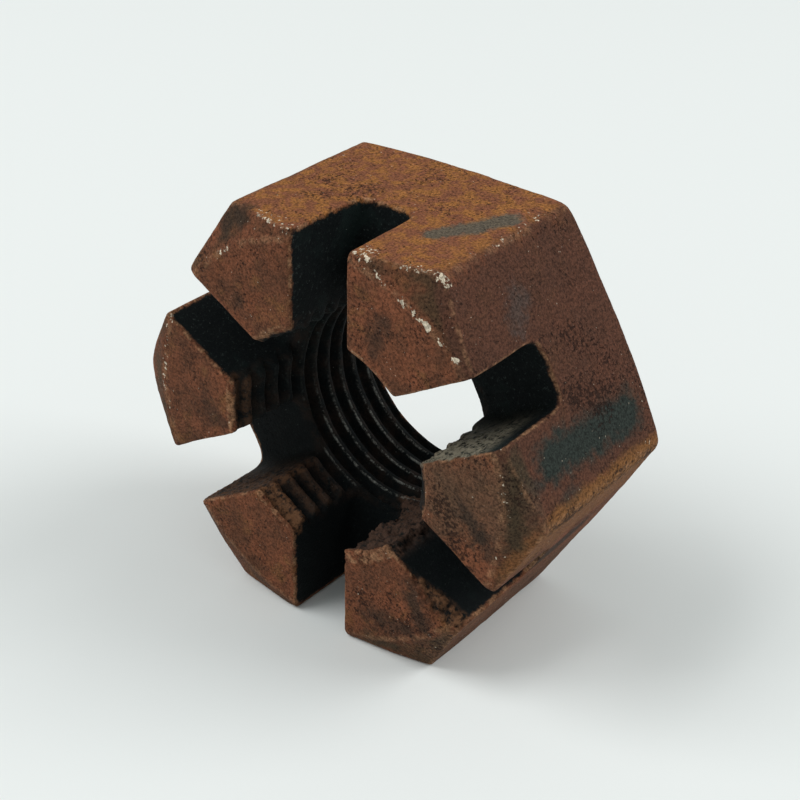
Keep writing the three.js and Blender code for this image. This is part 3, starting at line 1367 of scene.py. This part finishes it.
def direction(azimuth: float, elevation: float) -> Vector:
    """Unit vector from the nut to an eye.

    Args:
        azimuth: degrees, 0 at -Y and 90 at +X.
        elevation: degrees above the floor.

    Returns:
        The vector.
    """
    a = math.radians(azimuth)
    e = math.radians(elevation)
    return Vector((math.sin(a) * math.cos(e), -math.cos(a) * math.cos(e), math.sin(e)))


@dataclass(frozen=True)
class Softbox:
    """A square area light, placed by its direction from the nut."""

    name: str
    azimuth: float
    elevation: float
    distance: float
    side: float
    power: float

    def build(self, target: Vector) -> None:
        """Adds the light.

        Args:
            target: the point that it is turned to.
        """
        data = bpy.data.lights.new(self.name, "AREA")
        data.size = self.side
        data.energy = self.power
        light = bpy.data.objects.new(self.name, data)
        toward = direction(self.azimuth, self.elevation)
        light.location = target + toward * self.distance
        light.rotation_euler = (-toward).to_track_quat("-Z", "Y").to_euler()
        bpy.context.scene.collection.objects.link(light)


@dataclass(frozen=True)
class Studio:
    """A plain pale floor, soft light from both sides and from the sky, and the camera."""

    floor_half_side: float = 1.5
    floor_colour: Colour = (0.80, 0.83, 0.82, 1.0)
    floor_roughness: float = 0.95
    sky_colour: Colour = (0.95, 0.99, 0.98, 1.0)
    sky_strength: float = 0.44
    azimuth: float = 37.36
    elevation: float = 30.35
    roll: float = 1.13
    eye_distance: float = 125.05 * MM
    lens: float = 74.53
    clip_start: float = 1 * MM
    aim: Point = (2.14 * MM, -2.06 * MM, 18.52 * MM)
    softboxes: tuple[Softbox, ...] = (
        Softbox("left_key", azimuth=-50.0, elevation=50.0, distance=0.9, side=0.55, power=4.4),
        Softbox("right_key", azimuth=127.0, elevation=41.0, distance=0.9, side=0.5, power=3.7),
    )

    def build(self) -> None:
        """Adds the floor, the sky, the lights and the camera."""
        self.build_floor()
        self.build_sky()
        for softbox in self.softboxes:
            softbox.build(Vector(self.aim))
        self.build_camera()

    def build_floor(self) -> None:
        """Adds the pale floor that the nut stands on."""
        s = self.floor_half_side
        mesh = bpy.data.meshes.new("floor")
        mesh.from_pydata([(-s, -s, 0), (s, -s, 0), (s, s, 0), (-s, s, 0)], [], [(0, 1, 2, 3)])
        material = bpy.data.materials.new("pale_floor")
        material.use_nodes = True
        material.node_tree.nodes.clear()
        graph = Graph(material.node_tree)
        shader = graph.node(
            "ShaderNodeBsdfPrincipled",
            inputs={"Base Color": self.floor_colour, "Roughness": self.floor_roughness},
        )
        graph.node("ShaderNodeOutputMaterial", inputs={"Surface": shader.outputs[0]})
        mesh.materials.append(material)
        floor = bpy.data.objects.new("floor", mesh)
        bpy.context.scene.collection.objects.link(floor)

    def build_sky(self) -> None:
        """Sets an even pale sky."""
        world = bpy.data.worlds.new("pale_sky")
        world.use_nodes = True
        world.node_tree.nodes.clear()
        graph = Graph(world.node_tree)
        sky = graph.node(
            "ShaderNodeBackground", inputs={"Color": self.sky_colour, "Strength": self.sky_strength}
        )
        graph.node("ShaderNodeOutputWorld", inputs={"Surface": sky.outputs[0]})
        bpy.context.scene.world = world

    def build_camera(self) -> None:
        """Adds the camera and makes it the scene's own."""
        data = bpy.data.cameras.new("camera")
        data.lens = self.lens
        data.clip_start = self.clip_start
        camera = bpy.data.objects.new("camera", data)
        back = direction(self.azimuth, self.elevation)
        eye = Vector(self.aim) + back * self.eye_distance
        roll = Matrix.Rotation(math.radians(self.roll), 3, "Z")
        turn = back.to_track_quat("Z", "Y").to_matrix() @ roll
        camera.matrix_world = Matrix.LocRotScale(eye, turn, None)
        bpy.context.scene.collection.objects.link(camera)
        bpy.context.scene.camera = camera
        bpy.context.scene.view_settings.view_transform = "Standard"


def main() -> None:
    """Builds the studio and the nut in order."""
    logging.basicConfig(level=logging.INFO)
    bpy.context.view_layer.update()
    Studio().build()
    LOG.info("studio ready")
    sizes = NutSizes.from_frame()
    wear = NutWear()
    material = RustedSteel(sizes, wear).material()
    body = SlottedNut(sizes, wear).build(material)
    LOG.info("%s built", body.name)


if __name__ == "__main__":
    main()
